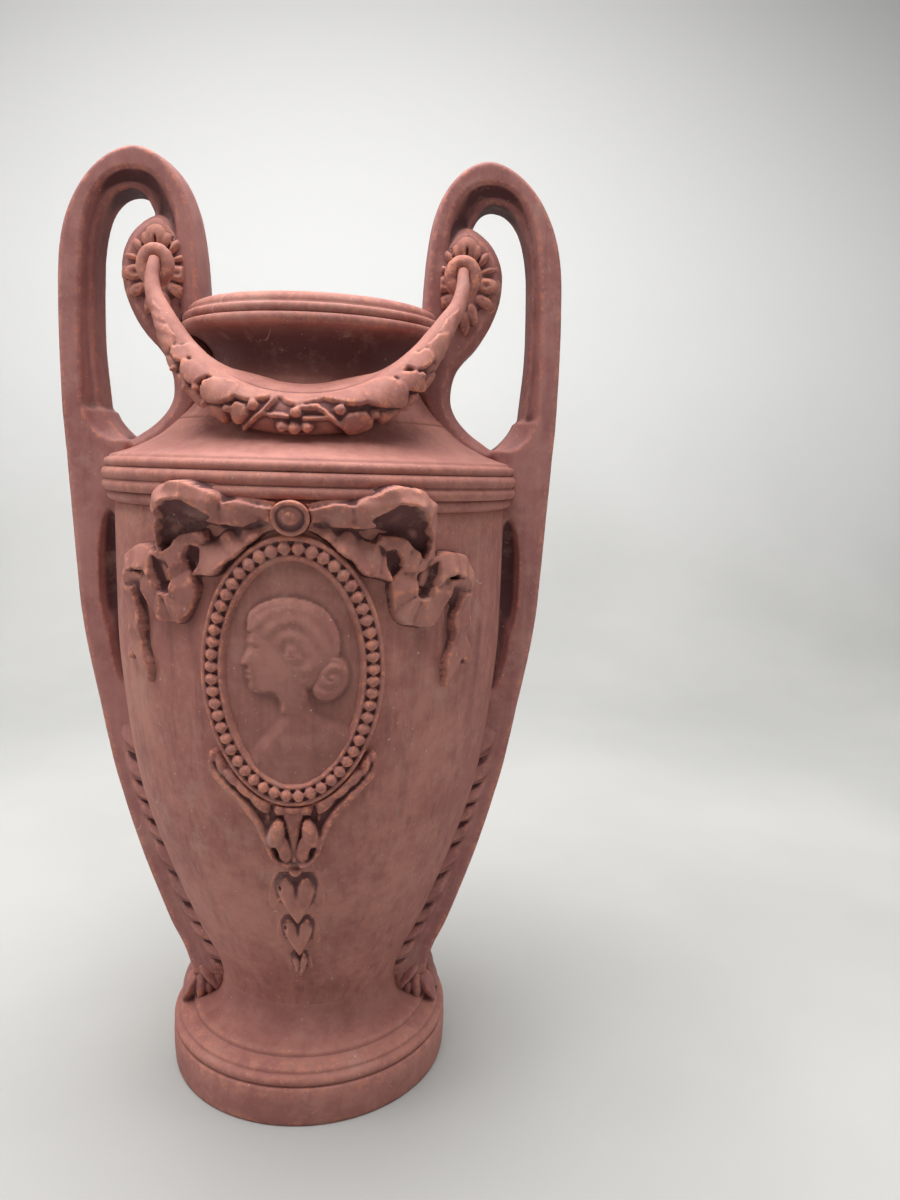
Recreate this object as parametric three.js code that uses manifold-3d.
// A two-handled terracotta vase with applied reliefs: millimetres, +Z up.
// The origin is the middle of the foot's underside.
// The handles lie along X, and the medallions face -Y and +Y.
import * as THREE from "three";
import { mergeVertices } from "three/addons/utils/BufferGeometryUtils.js";
import Module from "manifold-3d";

const wasm = await Module();
wasm.setup();

// Sizes of the pot
const FOOT_RADIUS = 60;
const FOOT_DISC_HEIGHT = 16.8;
const FOOT_HEIGHT = 35;
const FOOT_TOP_RADIUS = 41;
const FOOT_RECESS_DEPTH = 3.5;
const FOOT_RIM_WIDTH = 11;
const WAIST_RADIUS = 39.5;
const BELLY_RADIUS = 79.5;
const BELLY_TOP = 243.7;
const WALL = 7;
const BELLY_FLOOR = 9;
const BAND_HEIGHT = 17;
const BAND_STAND_OUT = 4.5;
const BAND_REEDS = 4;
const SHOULDER_TOP = 276;
const SHOULDER_TOP_RADIUS = 55;
const NECK_RADIUS = 41;
const NECK_HEIGHT = 300;
const LIP_UNDERSIDE = 309.7;
const LIP_RADIUS = 54.1;
const LIP_TOP = 321.2;
const MOUTH_RADIUS = 41;
const BORE_RADIUS = 34.5;

// Sizes of the handles
const HANDLE_TOP = 379;
const HANDLE_REACH = 99;
const HANDLE_DEPTH = 29;
const HANDLE_WEB = 16;
const HANDLE_BAND = 8.5;
const HANDLE_EDGE = 1.6;
const LEG_WIDTH_AT_WAIST = 11.5;
const LEG_DRAW_IN = 2;

// Sizes of the reliefs
const ROSETTE_WIDTH = 25;
const ROSETTE_HEIGHT = 34;
const ROSETTE_THICKNESS = 7.2;
const RING_WIDTH = 14.5;
const RING_HEIGHT = 18;
const RING_WIRE = 4;
const GARLAND_THICKNESS = 15.6;
const GARLAND_BACKING = 4.5;
const MEDALLION_WIDTH = 64.6;
const MEDALLION_HEIGHT = 97.5;
const MEDALLION_CENTRE = 187.6;
const FRAME_WIDTH = 9;
const FRAME_RISE = 5;
const PLAQUE_RISE = 1.6;
const BEADS = 52;
const BEAD_RADIUS = 2;
const BUTTON_RADIUS = 6.1;
const BUTTON_RISE = 7.5;
const BUTTON_ABOVE_FRAME = 5.65;
const RIBBON_RISE = 7.4;
const HUSK_RISE = 4.5;
const HUSKS_BELOW_FRAME = 28.85;
const LEAF_RISE = 3.4;
const GAP = 0.3;

const look = { color: 0x96604f, roughness: 0.9, metalness: 0 };
const clay = (name) => new THREE.MeshStandardMaterial({ name, ...look });

// Solids from closed geometry, and back
function solidOf(geometry) {
  const bare = geometry.clone();
  bare.deleteAttribute("normal");
  bare.deleteAttribute("uv");
  const merged = mergeVertices(bare, 1e-4);
  const mesh = new wasm.Mesh({
    numProp: 3,
    vertProperties: new Float32Array(merged.attributes.position.array),
    triVerts: new Uint32Array(merged.index.array),
  });
  return new wasm.Manifold(mesh);
}

function geometryOf(solid) {
  const mesh = solid.getMesh();
  const geometry = new THREE.BufferGeometry();
  geometry.setAttribute("position", new THREE.BufferAttribute(new Float32Array(mesh.vertProperties), 3));
  geometry.setIndex(new THREE.BufferAttribute(new Uint32Array(mesh.triVerts), 1));
  return geometry;
}

const joined = (solids) => solids.reduce((all, next) => all.add(next));

// A skin over rings of points: closed on itself, or capped at both ends
function skin(rings, closed = false) {
  const count = rings[0].length;
  const points = rings.flat();
  const faces = [];
  const spans = closed ? rings.length : rings.length - 1;
  for (let i = 0; i < spans; i++) {
    const here = i * count;
    const next = ((i + 1) % rings.length) * count;
    for (let j = 0; j < count; j++) {
      const k = (j + 1) % count;
      faces.push(here + j, here + k, next + k, here + j, next + k, next + j);
    }
  }
  if (!closed) {
    for (const [start, turned] of [[0, true], [(rings.length - 1) * count, false]]) {
      const middle = new THREE.Vector3();
      for (let j = 0; j < count; j++) middle.addScaledVector(points[start + j], 1 / count);
      const centre = points.push(middle) - 1;
      for (let j = 0; j < count; j++) {
        const k = (j + 1) % count;
        if (turned) faces.push(centre, start + k, start + j);
        else faces.push(centre, start + j, start + k);
      }
    }
  }
  const geometry = new THREE.BufferGeometry().setFromPoints(points);
  geometry.setIndex(faces);
  const solid = solidOf(geometry);
  if (solid.volume() > 0) return solid;
  const turnedFaces = [];
  for (let i = 0; i < faces.length; i += 3) turnedFaces.push(faces[i], faces[i + 2], faces[i + 1]);
  geometry.setIndex(turnedFaces);
  return solidOf(geometry);
}

const smooth = (pairs, steps) => {
  const curve = new THREE.SplineCurve(pairs.map(([x, y]) => new THREE.Vector2(x, y)));
  return curve.getPoints(steps).map((p) => [p.x, p.y]);
};

function mixAlong(stations, t) {
  if (t <= stations[0][0]) return stations[0][1];
  for (let i = 1; i < stations.length; i++) {
    const [t0, v0] = stations[i - 1];
    const [t1, v1] = stations[i];
    if (t <= t1) return v0 + ((v1 - v0) * (t - t0)) / (t1 - t0);
  }
  return stations[stations.length - 1][1];
}

// Outlines of the pot, as [radius, height]
const RING_STEPS = 32;
const BAND_RADIUS = BELLY_RADIUS + BAND_STAND_OUT;
const BELLY_BOTTOM = FOOT_HEIGHT + GAP;
const BAND_BOTTOM = BELLY_TOP + GAP;
const BAND_TOP = BAND_BOTTOM + BAND_HEIGHT;
const NECK_BOTTOM = SHOULDER_TOP + GAP;
const swell = [
  [0, 0],
  [0.03, 0.01],
  [0.08, 0.095],
  [0.145, 0.26],
  [0.31, 0.59],
  [0.475, 0.832],
  [0.69, 0.972],
  [0.85, 0.998],
  [1, 1],
];
const bellyOutline = smooth(
  swell.map(([t, f]) => [
    WAIST_RADIUS + (BELLY_RADIUS - WAIST_RADIUS) * f,
    BELLY_BOTTOM + (BELLY_TOP - BELLY_BOTTOM) * t,
  ]),
  11,
);

const coveBottom = FOOT_DISC_HEIGHT + 10.7;
const coveHeight = FOOT_HEIGHT - coveBottom;
const footOutline = [
  [FOOT_RADIUS, 0],
  [FOOT_RADIUS + 1.2, FOOT_DISC_HEIGHT * 0.55],
  [FOOT_RADIUS + 0.8, FOOT_DISC_HEIGHT - 0.6],
  [FOOT_RADIUS - 0.4, FOOT_DISC_HEIGHT],
  [FOOT_RADIUS + 0.8, FOOT_DISC_HEIGHT + 1.2],
  [FOOT_RADIUS + 0.6, FOOT_DISC_HEIGHT + 3.2],
  [FOOT_RADIUS - 2.2, FOOT_DISC_HEIGHT + 4.4],
  [FOOT_RADIUS - 3, FOOT_DISC_HEIGHT + 6.4],
  [FOOT_RADIUS - 8, FOOT_DISC_HEIGHT + 7.6],
  [FOOT_RADIUS - 9, FOOT_DISC_HEIGHT + 9.4],
  [FOOT_RADIUS - 10.8, coveBottom],
  [FOOT_TOP_RADIUS + 4.2, coveBottom + coveHeight * 0.3],
  [FOOT_TOP_RADIUS + 1.6, coveBottom + coveHeight * 0.65],
  [FOOT_TOP_RADIUS, FOOT_HEIGHT],
];

function reeds() {
  const pitch = (BAND_HEIGHT - 0.6) / BAND_REEDS;
  const lows = [[BELLY_RADIUS + 1, BAND_BOTTOM]];
  for (let i = 0; i < BAND_REEDS; i++) {
    const out = BAND_RADIUS + (i === 0 ? -1.8 : i === BAND_REEDS - 1 ? -1 : 0);
    const z = BAND_BOTTOM + 0.3 + pitch * i;
    lows.push([out - 1.1, z]);
    lows.push([out, z + 0.3 * pitch]);
    lows.push([out, z + 0.7 * pitch]);
  }
  return lows;
}

const shoulderCurve = smooth(
  [
    [BAND_RADIUS - 3.5, BAND_TOP],
    [BAND_RADIUS - 14, BAND_TOP + 4.3],
    [BAND_RADIUS - 22, BAND_TOP + 8.7],
    [SHOULDER_TOP_RADIUS, SHOULDER_TOP],
  ],
  4,
);
const bandOutline = [...reeds(), ...shoulderCurve];
const neckOutline = [
  ...smooth(
    [
      [SHOULDER_TOP_RADIUS - 0.2, NECK_BOTTOM],
      [NECK_RADIUS + 3.5, NECK_BOTTOM + 12.5],
      [NECK_RADIUS, NECK_HEIGHT],
      [NECK_RADIUS + 6, LIP_UNDERSIDE - 1.7],
      [LIP_RADIUS - 1, LIP_UNDERSIDE],
    ],
    7,
  ),
  [LIP_RADIUS, LIP_UNDERSIDE + 0.8],
  [LIP_RADIUS, LIP_UNDERSIDE + 2.6],
  [LIP_RADIUS - 1.4, LIP_UNDERSIDE + 3.5],
  [LIP_RADIUS - 1.3, LIP_UNDERSIDE + 6],
  [LIP_RADIUS - 3.1, LIP_UNDERSIDE + 7.2],
  [LIP_RADIUS - 4.2, LIP_TOP - 1.6],
  [LIP_RADIUS - 8, LIP_TOP],
];

const lathe = (outline) =>
  skin(
    Array.from({ length: RING_STEPS }, (_, i) => {
      const turn = (i / RING_STEPS) * Math.PI * 2;
      return outline.map(([r, z]) => new THREE.Vector3(r * Math.cos(turn), r * Math.sin(turn), z));
    }),
    true,
  );

function filled(outline) {
  const rings = outline.map(([r, z]) =>
    Array.from({ length: RING_STEPS }, (_, i) => {
      const turn = (i / RING_STEPS) * Math.PI * 2;
      return new THREE.Vector3(r * Math.cos(turn), r * Math.sin(turn), z);
    }),
  );
  return skin(rings);
}

const footSolid = filled([
  [FOOT_RADIUS - FOOT_RIM_WIDTH - 2, FOOT_RECESS_DEPTH],
  [FOOT_RADIUS - FOOT_RIM_WIDTH, 0],
  ...footOutline,
]);
const bellyInside = bellyOutline
  .map(([r, z]) => [r - WALL, z])
  .filter(([, z]) => z > BELLY_BOTTOM + BELLY_FLOOR + 2);
const bellySolid = filled([
  ...bellyOutline,
  ...[...bellyInside].reverse(),
  [bellyInside[0][0] - 8, BELLY_BOTTOM + BELLY_FLOOR],
]);
const bandSolid = lathe([
  ...bandOutline,
  [SHOULDER_TOP_RADIUS - WALL - 2, SHOULDER_TOP],
  [BAND_RADIUS - 22 - WALL / 2, BAND_TOP + 8.7 - WALL],
  [BELLY_RADIUS - WALL, BAND_TOP - 3],
  [BELLY_RADIUS - WALL, BAND_BOTTOM],
]);
const neckSolid = lathe([
  ...neckOutline,
  [MOUTH_RADIUS, LIP_TOP],
  [MOUTH_RADIUS - 1, LIP_UNDERSIDE + 4],
  [BORE_RADIUS + 1.5, NECK_HEIGHT + 5],
  [BORE_RADIUS, NECK_HEIGHT - 2],
  [BORE_RADIUS + 2, NECK_BOTTOM + 14],
  [SHOULDER_TOP_RADIUS - WALL - 2, NECK_BOTTOM],
]);

// The whole outside of the pot, a little larger, which trims what is laid on it
const potOutline = [...footOutline, ...bellyOutline, ...bandOutline, ...neckOutline];
const potCutter = filled([
  [FOOT_RADIUS + GAP, -1],
  ...potOutline.map(([r, z]) => [r + GAP, z]),
  [LIP_RADIUS - 8, LIP_TOP + GAP],
]);
const wallStations = bellyOutline.map(([r, z]) => [z, r]);
const wallRadius = (z) => mixAlong(wallStations, z);
const onPot = (solid) => solid.subtract(potCutter);

// A point over the wall: s along the wall from the middle, z up, d out
function overWall(s, z, d) {
  const turn = s / BELLY_RADIUS;
  const r = wallRadius(z) + d;
  return new THREE.Vector3(r * Math.sin(turn), -r * Math.cos(turn), z);
}

const ellipse = (s, z, a, b, count, turn = 0) =>
  Array.from({ length: count }, (_, i) => {
    const angle = (i / count) * Math.PI * 2;
    const u = a * Math.cos(angle);
    const v = b * Math.sin(angle);
    return [s + u * Math.cos(turn) - v * Math.sin(turn), z + u * Math.sin(turn) + v * Math.cos(turn)];
  });

const middleOf = (outline) => {
  const sum = outline.reduce(([a, b], [s, z]) => [a + s, b + z], [0, 0]);
  return sum.map((v) => v / outline.length);
};

// A cushion-topped relief inside an outline that goes once round its middle
function relief(outline, low, high, place, crown = [[1, 0.5], [0.8, 0.9], [0.4, 1]]) {
  const [cs, cz] = middleOf(outline);
  const ring = (share, d) => outline.map(([s, z]) => place(cs + (s - cs) * share, cz + (z - cz) * share, d));
  const levels = crown.map(([share, rise]) => ring(share, rise * high));
  return skin([ring(0.5, low), ring(1, low), ...levels]);
}

// A strip along a line of [s, z, half width] over the wall
function strip(line, low, high, place) {
  const rings = line.map(([s, z, half], i) => {
    const [s0, z0] = line[Math.max(0, i - 1)];
    const [s1, z1] = line[Math.min(line.length - 1, i + 1)];
    const length = Math.hypot(s1 - s0, z1 - z0);
    const across = [-(z1 - z0) / length, (s1 - s0) / length];
    const rise = high * (i % 2 ? 0.8 : 1);
    const at = (w, d) => place(s + across[0] * half * w, z + across[1] * half * w, d);
    return [at(-1, low), at(1, low), at(1, rise * 0.75), at(0.5, rise), at(-0.5, rise), at(-1, rise * 0.75)];
  });
  return skin(rings);
}

// The medallion: a beaded frame round a plaque with a head in profile
const BEAD_BASE = FRAME_RISE * 0.5;
const MEDALLION_LOW = MEDALLION_CENTRE - MEDALLION_HEIGHT / 2;
const BUTTON_CENTRE = MEDALLION_CENTRE + MEDALLION_HEIGHT / 2 + BUTTON_ABOVE_FRAME;
const frameEllipse = (grow, d, turn) =>
  overWall(
    (MEDALLION_WIDTH / 2 + grow) * Math.cos(turn),
    MEDALLION_CENTRE + (MEDALLION_HEIGHT / 2 + grow) * Math.sin(turn),
    d,
  );

function medallionFrame() {
  const steps = 44;
  const section = [
    [0, GAP],
    [0, FRAME_RISE * 0.5],
    [-FRAME_WIDTH * 0.15, FRAME_RISE * 0.7],
    [-FRAME_WIDTH * 0.28, BEAD_BASE],
    [-FRAME_WIDTH * 0.75, BEAD_BASE],
    [-FRAME_WIDTH * 0.85, FRAME_RISE * 0.6],
    [-FRAME_WIDTH, FRAME_RISE * 0.3],
    [-FRAME_WIDTH, GAP],
  ];
  const rings = Array.from({ length: steps }, (_, i) => {
    const turn = (i / steps) * Math.PI * 2;
    return section.map(([grow, d]) => frameEllipse(grow, d, turn));
  });
  return joined([skin(rings, true), ...beads()]);
}

// Beads at even distances along the middle of the frame
function beads() {
  const middle = -FRAME_WIDTH / 2;
  const a = MEDALLION_WIDTH / 2 + middle;
  const b = MEDALLION_HEIGHT / 2 + middle;
  const line = new THREE.EllipseCurve(0, 0, a, b);
  return line.getSpacedPoints(BEADS).slice(1).map((spot) => {
    const round = (radius, d) =>
      ellipse(spot.x, MEDALLION_CENTRE + spot.y, radius, radius, 5).map(([s, z]) => overWall(s, z, d));
    return skin([round(BEAD_RADIUS, FRAME_RISE * 0.4), round(BEAD_RADIUS * 0.6, FRAME_RISE)]);
  });
}

function frameCutter() {
  const steps = 40;
  const room = [
    [GAP + 0.1, -4],
    [GAP + 0.1, 14],
    [-20, 14],
    [-20, -4],
  ];
  const rings = Array.from({ length: steps }, (_, i) => {
    const turn = (i / steps) * Math.PI * 2;
    return room.map(([grow, d]) => frameEllipse(grow, d, turn));
  });
  return skin(rings, true);
}

function medallionPlaque() {
  const edge = -FRAME_WIDTH - GAP - 0.1;
  const ring = (share, d) =>
    Array.from({ length: 24 }, (_, i) => {
      const turn = (i / 24) * Math.PI * 2;
      const a = (MEDALLION_WIDTH / 2 + edge) * share;
      const b = (MEDALLION_HEIGHT / 2 + edge) * share;
      return overWall(a * Math.cos(turn), MEDALLION_CENTRE + b * Math.sin(turn), d);
    });
  const shares = [0.3, 0.65, 1];
  const plate = skin([
    ...shares.map((share) => ring(share, 0.5)),
    ...[...shares].reverse().map((share) => ring(share, PLAQUE_RISE)),
  ]);
  const crown = [
    [1, 0.8],
    [0.75, 0.97],
    [0.35, 1],
  ];
  const part = (outline, high) => relief(outline, 0.9, PLAQUE_RISE + high, overWall, crown);
  const head = part(ellipse(-3, MEDALLION_CENTRE + 13, 12, 15, 14, 0.25), 2.6);
  const bun = part(ellipse(11, MEDALLION_CENTRE + 7, 6.5, 7, 10), 2.2);
  const bust = [
    [-6, 2],
    [-5, -8],
    [-13, -17],
    [-15, -30],
    [2, -34],
    [15, -28],
    [19, -15],
    [8, -9],
    [5, 2],
  ];
  const neck = part(bust.map(([s, z]) => [s, z + MEDALLION_CENTRE]), 1.8);
  return joined([plate, head, bun, neck]);
}

// The bow: a button, and a ribbon each side with a loop, a swag and a tail
const buttonCrown = [
  [1, 0.8],
  [0.8, 0.94],
  [0.45, 1],
];

function button(grow, high) {
  const radius = BUTTON_RADIUS + grow;
  return relief(ellipse(0, BUTTON_CENTRE, radius, radius, 12), -4, high, overWall, buttonCrown);
}

// Each line of a ribbon as [along the wall, height over the button, half width]
const upperRibbon = [
  [-4, -1, 3],
  [-13, 1, 3.4],
  [-22, 0.5, 5],
  [-29, 4, 6],
  [-36, 5.5, 6.2],
  [-42.5, 2, 6],
  [-46, -5, 5],
  [-46.5, -12, 4],
];
const lowerRibbon = [
  [-4, -4, 2.5],
  [-15, -6.5, 4],
  [-25, -12, 5.5],
  [-34, -16, 5.5],
  [-43, -15, 3],
];
const swag = [
  [-45, -13, 4],
  [-40, -21, 5],
  [-38, -29, 6],
  [-43, -34, 6.2],
  [-50, -33, 6],
  [-55, -26, 5.5],
  [-56, -18, 5],
];
const tail = [
  [-50, -19, 4.5],
  [-58, -18, 5],
  [-65, -22, 5],
  [-67, -31, 4.5],
  [-65, -40, 4.5],
  [-65, -48, 5],
  [-66, -57, 6],
];

function ribbon(side) {
  const laid = (line, low, share) =>
    onPot(
      strip(
        line.map(([s, z, half]) => [s * side, BUTTON_CENTRE + z, half]),
        low,
        RIBBON_RISE * share,
        overWall,
      ),
    );
  return joined([
    laid(upperRibbon, -4, 1),
    laid(lowerRibbon, 2 * GAP, 0.6),
    laid(swag, 2 * GAP, 0.65),
    laid(tail, 2 * GAP, 0.7),
  ]);
}

// The pendant below the medallion: a calyx, two husks and a bud
const calyxArm = [
  [-30, 16, 1.8],
  [-23, 7, 3],
  [-15.5, 0.5, 3.6],
  [-11.5, -8, 3.4],
  [-9, -17, 4],
  [-5, -24, 3.6],
];
const calyxStem = [
  [0, 4, 8],
  [0, -6, 6],
  [0, -16, 4],
  [0, -26, 4.5],
];

function calyx() {
  const low = GAP + 0.4;
  const laid = (line, side, rise) =>
    strip(line.map(([s, z, half]) => [s * side, MEDALLION_LOW + z, half]), low, rise, overWall);
  const scroll = (side) =>
    relief(ellipse(6.5 * side, MEDALLION_LOW - 14, 4.6, 9, 10), low, HUSK_RISE * 1.2, overWall);
  const stem = laid(calyxStem, 1, HUSK_RISE * 0.8);
  return joined([laid(calyxArm, -1, HUSK_RISE), laid(calyxArm, 1, HUSK_RISE), stem, scroll(-1), scroll(1)]);
}

// A heart with its point below, as [share of half the width, share of the height]
const heartSide = [
  [0.35, 0],
  [0.75, -0.03],
  [1, -0.22],
  [0.95, -0.45],
  [0.6, -0.7],
  [0.12, -1],
];
const heartOutline = [[0, -0.12], ...heartSide, ...heartSide.map(([u, v]) => [-u, v]).reverse()];
const heart = (top, width, height) =>
  heartOutline.map(([u, v]) => [(u * width) / 2, top + v * height]);

const husk = (top, width, height) => relief(heart(top, width, height), GAP + 0.1, HUSK_RISE, overWall);

// The handles: a loop with a raised band round its front, and a scroll inside it
const flat = (points, depth, soft) => {
  const shape = new THREE.Shape(points.map(([x, z]) => new THREE.Vector2(x, z)));
  const geometry = new THREE.ExtrudeGeometry(shape, {
    depth: depth - 2 * soft,
    bevelEnabled: soft > 0,
    bevelThickness: soft,
    bevelSize: soft,
    bevelOffset: -soft,
    bevelSegments: 1,
    steps: 1,
  });
  geometry.rotateX(Math.PI / 2);
  geometry.translate(0, (depth - 2 * soft) / 2, 0);
  return solidOf(geometry);
};

// The handle's drawing, with the sizes it was drawn for, is fitted to the sizes above
const LOOP_ROOT = NECK_RADIUS + 3.5;
const DRAWN = { root: 44.5, reach: 99, top: 379, shoulder: 276 };
const loopScaleX = (HANDLE_REACH - LOOP_ROOT) / (DRAWN.reach - DRAWN.root);
const loopScaleZ = (HANDLE_TOP - SHOULDER_TOP) / (DRAWN.top - DRAWN.shoulder);
const loopX = (x) => LOOP_ROOT + (x - DRAWN.root) * loopScaleX;
const loopZ = (z) => SHOULDER_TOP + (z - DRAWN.shoulder) * loopScaleZ;
const loop = (points) => points.map(([x, z]) => [loopX(x), loopZ(z)]);

// The leg beside the belly, as [share of the belly's height, width]
const legTopWidth = HANDLE_REACH - BELLY_RADIUS - LEG_DRAW_IN;
const bellyZ = (share) => FOOT_HEIGHT + (BELLY_TOP - FOOT_HEIGHT) * share;
const legWidth = [
  [0.034, LEG_WIDTH_AT_WAIST],
  [0.407, legTopWidth * 0.526],
  [0.589, legTopWidth * 0.606],
  [0.8, legTopWidth * 0.846],
  [1, legTopWidth],
];
const legShares = [0.034, 0.072, 0.129, 0.211, 0.311, 0.412, 0.517, 0.599, 0.695, 0.8, 0.91, 1];
const legEdge = legShares.map((share) => {
  const z = bellyZ(share);
  return [wallRadius(z) + mixAlong(legWidth, share), z];
});
const loopOutside = [
  [97.5, 262],
  [99, 290],
  [99, 320],
  [98, 340],
  [91.5, 361],
  [77, 376],
  [69, 379],
  [58.5, 375.5],
  [49, 362],
  [45.5, 337],
  [44.5, 322],
];
const outerEdge = [...legEdge, ...smooth(loop(loopOutside), 15)];
const innerSide = [
  [NECK_RADIUS - 5, LIP_UNDERSIDE + 6.3],
  [NECK_RADIUS - 7, NECK_HEIGHT],
  [NECK_RADIUS - 1, SHOULDER_TOP + 4],
  [BELLY_RADIUS * 0.75, BAND_TOP + 1],
  [BELLY_RADIUS * 0.75, bellyZ(0.31)],
  [WAIST_RADIUS * 0.76, bellyZ(0.12)],
  [WAIST_RADIUS * 0.71, bellyZ(0.034)],
];
const openingDrawn = [
  [62, 354],
  [66, 362],
  [73.5, 364.5],
  [82, 358],
  [86.5, 341],
  [87, 318],
  [86, 293],
  [81.5, 274],
  [75, 268],
  [69, 270],
  [59, 278.5],
  [55.5, 290],
  [60.5, 303],
  [70.5, 316],
  [75, 333],
  [71, 347],
  [62, 354],
];
const opening = smooth(loop(openingDrawn), 22).slice(0, -1);
const scrollFront = [
  [58, 353.5],
  [62, 354],
  [71, 347],
  [75, 333],
  [70.5, 316],
  [60.5, 303],
  [55.5, 290],
  [59, 278.5],
  [69, 270],
  [72.5, 267.5],
];
const scrollTop = [
  [49.5, 325],
  [49, 336],
  [51.5, 346],
  [58, 353.5],
];
const scroll = [
  ...smooth(loop(scrollFront), 14),
  [loopX(72.5), BAND_TOP - 3],
  [LOOP_ROOT, BAND_TOP - 3],
  [NECK_RADIUS - 7, NECK_BOTTOM + 14],
  [NECK_RADIUS - 7, LIP_UNDERSIDE + 6],
  [loopX(46), loopZ(320)],
  ...smooth(loop(scrollTop), 6).slice(0, -1),
];
const bandDrawn = [
  [51.5, 340],
  [52.5, 353],
  [57, 365],
  [68.5, 370.5],
  [82, 364],
  [88.5, 347],
  [90.5, 314],
  [90.5, 284],
  [83, 270.5],
  [76, 269],
];
const bandDrawIn = (x) => (x > 80 ? 8.5 - HANDLE_BAND : 0);
const bandEdge = smooth(loop(bandDrawn.map(([x, z]) => [x + bandDrawIn(x), z])), 16);
const cove = [...bandEdge, [loopX(66), loopZ(268)], [loopX(51), NECK_HEIGHT]];
const nicheEdge = [
  [BELLY_RADIUS - 3, bellyZ(0.985)],
  [BELLY_RADIUS + legTopWidth * 0.17, bellyZ(0.982)],
  [BELLY_RADIUS + legTopWidth * 0.37, bellyZ(0.91)],
  [BELLY_RADIUS + legTopWidth * 0.286, bellyZ(0.781)],
  [BELLY_RADIUS - 2.5, bellyZ(0.628)],
];
const niche = [...smooth(nicheEdge, 8), [BELLY_RADIUS - 10, bellyZ(0.79)]];

// The outline drawn in by an amount, corner by corner
function drawnIn(outline, amount) {
  const turning = THREE.ShapeUtils.isClockWise(outline.map(([x, z]) => new THREE.Vector2(x, z))) ? -1 : 1;
  return outline.map(([x, z], i) => {
    const [x0, z0] = outline[(i + outline.length - 1) % outline.length];
    const [x1, z1] = outline[(i + 1) % outline.length];
    const length = Math.hypot(x1 - x0, z1 - z0);
    return [x - (turning * amount * (z1 - z0)) / length, z + (turning * amount * (x1 - x0)) / length];
  });
}

// A cutter for a sunken field on the front face, narrower at its floor
function pocket(outline, low, high, slope) {
  const shape = new THREE.Shape(outline.map(([x, z]) => new THREE.Vector2(x, z)));
  const geometry = new THREE.ExtrudeGeometry(shape, { depth: high - low, bevelEnabled: false, steps: 1 });
  const floor = drawnIn(outline, slope);
  const corners = geometry.attributes.position;
  for (let i = 0; i < corners.count; i++) {
    if (corners.getZ(i) > 0) continue;
    const k = outline.findIndex(([x, z]) => Math.hypot(x - corners.getX(i), z - corners.getY(i)) < 1e-3);
    corners.setXY(i, ...floor[k]);
  }
  geometry.rotateX(Math.PI / 2);
  geometry.translate(0, -low, 0);
  return solidOf(geometry);
}

function handle() {
  const web = HANDLE_WEB / 2;
  let solid = flat([...outerEdge, ...innerSide], HANDLE_DEPTH, HANDLE_EDGE);
  for (const [outline, low] of [[cove, web], [niche, web + 1]]) {
    const cut = pocket(outline, low, HANDLE_DEPTH / 2 + 1, 3);
    solid = solid.subtract(cut).subtract(cut.mirror([0, 1, 0]));
  }
  solid = solid.add(flat(scroll, HANDLE_DEPTH, HANDLE_EDGE));
  return onPot(solid.subtract(flat(opening, HANDLE_DEPTH + 4, 0)));
}

// The garland from ring to ring across the front
const ringFace = HANDLE_DEPTH / 2 + GAP + ROSETTE_THICKNESS + GAP + RING_WIRE / 2;
const ringCentre = new THREE.Vector3(loopX(58.3), -ringFace, loopZ(332.6));

function garland() {
  const hang = SHOULDER_TOP_RADIUS + 6;
  const half = [
    [ringCentre.x, ringCentre.y - 0.5, ringCentre.z + 2.2, 0.28],
    [ringCentre.x - 0.1, ringCentre.y - 3.2, ringCentre.z - 1, 0.3],
    [ringCentre.x - 0.4, ringCentre.y - 6, ringCentre.z - 5.5, 0.35],
    [ringCentre.x - 2.3, ringCentre.y - 9.5, ringCentre.z - 12.5, 0.5],
    [LIP_RADIUS - 2.1, -hang * 0.65, loopZ(313.5), 0.68],
    [LIP_RADIUS - 6.3, -hang * 0.715, loopZ(306), 0.8],
    [LIP_RADIUS * 0.75, -hang * 0.79, loopZ(295), 0.9],
    [LIP_RADIUS * 0.555, -hang * 0.885, SHOULDER_TOP + 8.7, 0.95],
    [LIP_RADIUS * 0.287, -hang * 0.975, SHOULDER_TOP + 1.8, 0.97],
  ];
  const middle = [[0, -hang, SHOULDER_TOP, 1]];
  const mirrored = half.map(([x, y, z, w]) => [-x, y, z, w]).reverse();
  const stations = [...half, ...middle, ...mirrored];
  const curve = new THREE.CatmullRomCurve3(stations.map(([x, y, z]) => new THREE.Vector3(x, y, z)));
  const steps = 30;
  const sides = 7;
  const rings = Array.from({ length: steps + 1 }, (_, i) => {
    const t = i / steps;
    const at = curve.getPoint(t);
    const along = curve.getTangent(t);
    const out = new THREE.Vector3(at.x, at.y, 0).normalize();
    const across = new THREE.Vector3().crossVectors(along, out).normalize();
    const lift = new THREE.Vector3().crossVectors(across, along).normalize();
    const place = t * (stations.length - 1);
    const k = Math.min(stations.length - 2, Math.floor(place));
    const share = stations[k][3] + (stations[k + 1][3] - stations[k][3]) * (place - k);
    const leafy = share > 0.6 ? 1 + 0.08 * (i % 2 ? 1 : -1) : 1;
    const radius = (GARLAND_THICKNESS / 2) * share * leafy;
    return Array.from({ length: sides }, (_unused, j) => {
      const turn = ((j + 0.5) / sides) * Math.PI * 2;
      const backing = Math.sin(turn) < 0 ? GARLAND_BACKING * Math.max(0, (share - 0.6) / 0.4) : 0;
      return at
        .clone()
        .addScaledVector(across, radius * Math.cos(turn))
        .addScaledVector(lift, (radius + backing) * Math.sin(turn));
    });
  });
  return onPot(skin(rings));
}

// The flower on the scroll, and the ring that the garland hangs from
const flowerCentre = [loopX(59), loopZ(333.5)];

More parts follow.
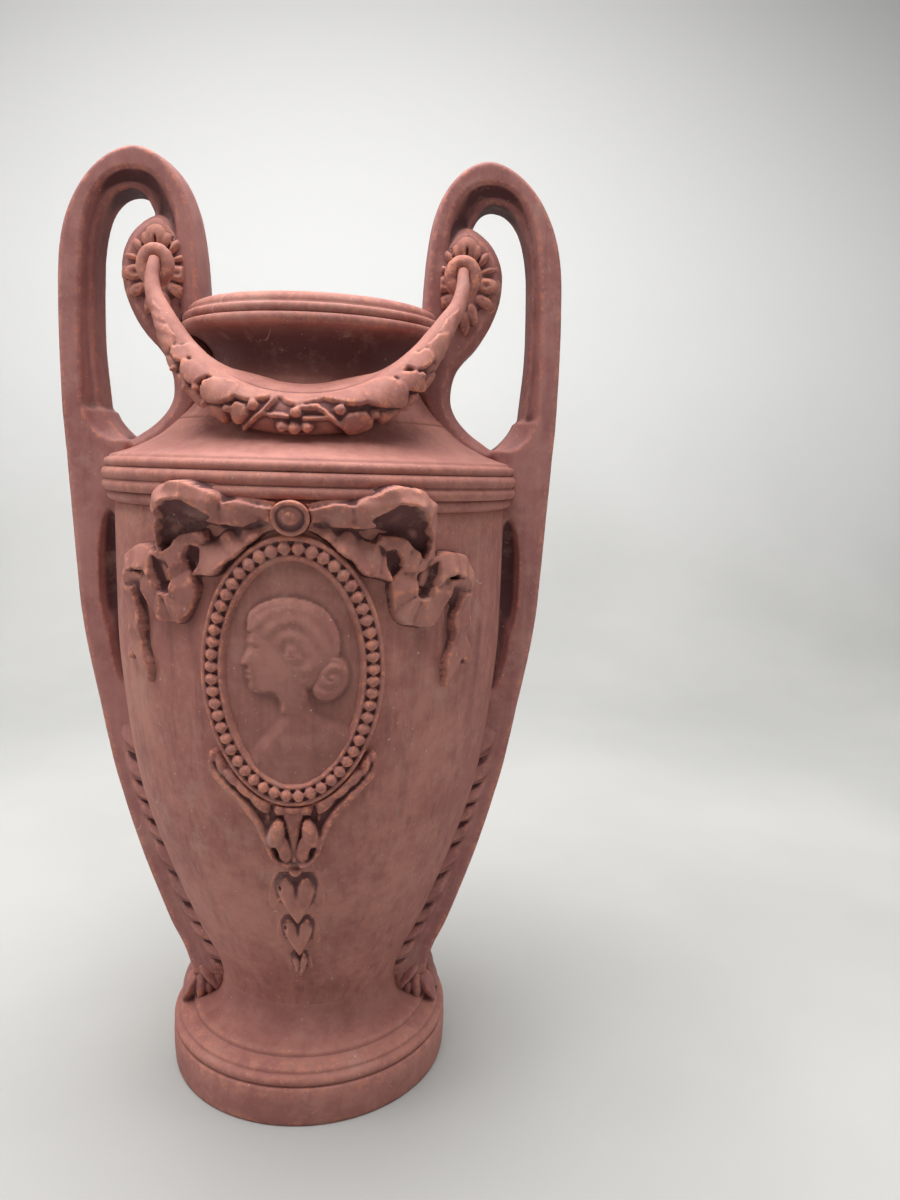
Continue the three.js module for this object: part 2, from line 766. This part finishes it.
function rosette() {
  const face = HANDLE_DEPTH / 2 + GAP;
  const outline = Array.from({ length: 16 }, (_, i) => {
    const turn = (i / 16) * Math.PI * 2;
    const lobe = 0.88 + 0.12 * Math.cos(8 * turn);
    return [
      flowerCentre[0] + (ROSETTE_WIDTH / 2) * lobe * Math.cos(turn),
      flowerCentre[1] + (ROSETTE_HEIGHT / 2) * lobe * Math.sin(turn),
    ];
  });
  const place = (x, z, d) => new THREE.Vector3(x, -face - d, z);
  const crown = [
    [1, 0.35],
    [0.8, 0.75],
    [0.5, 0.7],
    [0.35, 1],
  ];
  return relief(outline, 0, ROSETTE_THICKNESS, place, crown);
}

function ring() {
  const wire = RING_WIRE / 2;
  const rings = Array.from({ length: 14 }, (_, i) => {
    const turn = (i / 14) * Math.PI * 2;
    return Array.from({ length: 6 }, (_unused, j) => {
      const round = (j / 6) * Math.PI * 2;
      const out = wire * Math.cos(round);
      return new THREE.Vector3(
        ringCentre.x + (RING_WIDTH / 2 - wire + out) * Math.cos(turn),
        ringCentre.y + wire * Math.sin(round),
        ringCentre.z + (RING_HEIGHT / 2 - wire + out) * Math.sin(turn),
      );
    });
  });
  return skin(rings, true);
}

// Leaves down the corner between handle and wall, and on the foot below the handle
function laurel(handleSolid) {
  const leaves = 8;
  const low = bellyZ(0.038);
  const high = bellyZ(0.613);
  const face = HANDLE_DEPTH / 2 + GAP;
  const steps = leaves * 2;
  const rings = Array.from({ length: steps + 1 }, (_, i) => {
    const z = high - ((high - low) * i) / steps;
    const swellOut = i % 2 ? 1 : 0.6;
    const wall = Math.sqrt(Math.max(0, wallRadius(z) ** 2 - face ** 2));
    const wide = 7.5 * swellOut * Math.min(1, 0.5 + i / 4);
    const at = (u, d) => new THREE.Vector3(wall + u, -face - d, z);
    return [
      at(-4, 0),
      at(wide, 0),
      at(wide * 0.9, LEAF_RISE * 0.6),
      at(wide * 0.5, LEAF_RISE * swellOut),
      at(-4, LEAF_RISE * 0.9),
    ];
  });
  return onPot(skin(rings)).subtract(handleSolid);
}

function footLeaf() {
  const stations = [
    [FOOT_HEIGHT + 5, 0.55],
    [FOOT_HEIGHT, 0.62],
    [FOOT_HEIGHT - 4, 0.85],
    [FOOT_HEIGHT - 7.5, 1],
    [FOOT_HEIGHT - 10, 1.1],
  ];
  const reach = [
    [coveBottom - 3, FOOT_TOP_RADIUS + 16],
    [FOOT_HEIGHT - 4, FOOT_TOP_RADIUS + 12.5],
    [FOOT_HEIGHT + 5, FOOT_TOP_RADIUS + 10],
  ];
  const rings = stations.map(([z, wide]) =>
    [-1, -0.75, -0.45, 0, 0.45, 0.75, 1].map((u) => {
      const turn = u * wide * 0.42;
      const r = mixAlong(reach, z) - 5 * u * u;
      return new THREE.Vector3(r * Math.cos(turn), r * Math.sin(turn), z);
    }).concat([new THREE.Vector3(30, 8, z), new THREE.Vector3(30, -8, z)]),
  );
  return onPot(skin(rings));
}

// Putting it together: each named piece is one solid
const vase = new THREE.Group();
const turned = (solid, halfTurns) => solid.rotate([0, 0, 180 * halfTurns]);

function place(name, solid) {
  const mesh = new THREE.Mesh(geometryOf(solid), clay(name));
  mesh.name = name;
  vase.add(mesh);
}

place("foot", footSolid);
place("belly", bellySolid);
place("shoulder_band", bandSolid);
place("neck", neckSolid);

const rightHandle = handle();
const leaf = footLeaf().subtract(flat([...outerEdge, ...innerSide], HANDLE_DEPTH + 2 * GAP, 0));
const rightLaurel = laurel(rightHandle);
for (const [side, halfTurns] of [["right", 0], ["left", 1]]) {
  place("handle_" + side, turned(rightHandle, halfTurns));
  place("foot_leaf_" + side, turned(leaf, halfTurns));
}

const sideRelief = [
  ["rosette", rosette()],
  ["ring", ring()],
  ["laurel", rightLaurel],
];
const huskTop = MEDALLION_LOW - HUSKS_BELOW_FRAME;
const frameRoom = frameCutter();
const buttonRoom = button(GAP, 16);
const frontRelief = [
  ["garland", garland()],
  ["bow_button", onPot(button(0, BUTTON_RISE))],
  ["medallion_frame", medallionFrame().subtract(buttonRoom)],
  ["medallion_plaque", medallionPlaque()],
  ["ribbon_left", ribbon(1).subtract(frameRoom).subtract(buttonRoom)],
  ["ribbon_right", ribbon(-1).subtract(frameRoom).subtract(buttonRoom)],
  ["calyx", calyx().subtract(frameRoom)],
  ["husk_upper", husk(huskTop, 17, 20)],
  ["husk_middle", husk(huskTop - 21, 14.5, 17)],
  ["husk_lower", husk(huskTop - 39, 8.5, 12)],
];
for (const [face, halfTurns] of [["front", 0], ["back", 1]]) {
  for (const [name, solid] of frontRelief) place(name + "_" + face, turned(solid, halfTurns));
  for (const [name, solid] of sideRelief) {
    place(name + "_right_" + face, turned(solid, halfTurns));
    place(name + "_left_" + face, turned(solid.mirror([1, 0, 0]), halfTurns));
  }
}

export default vase;
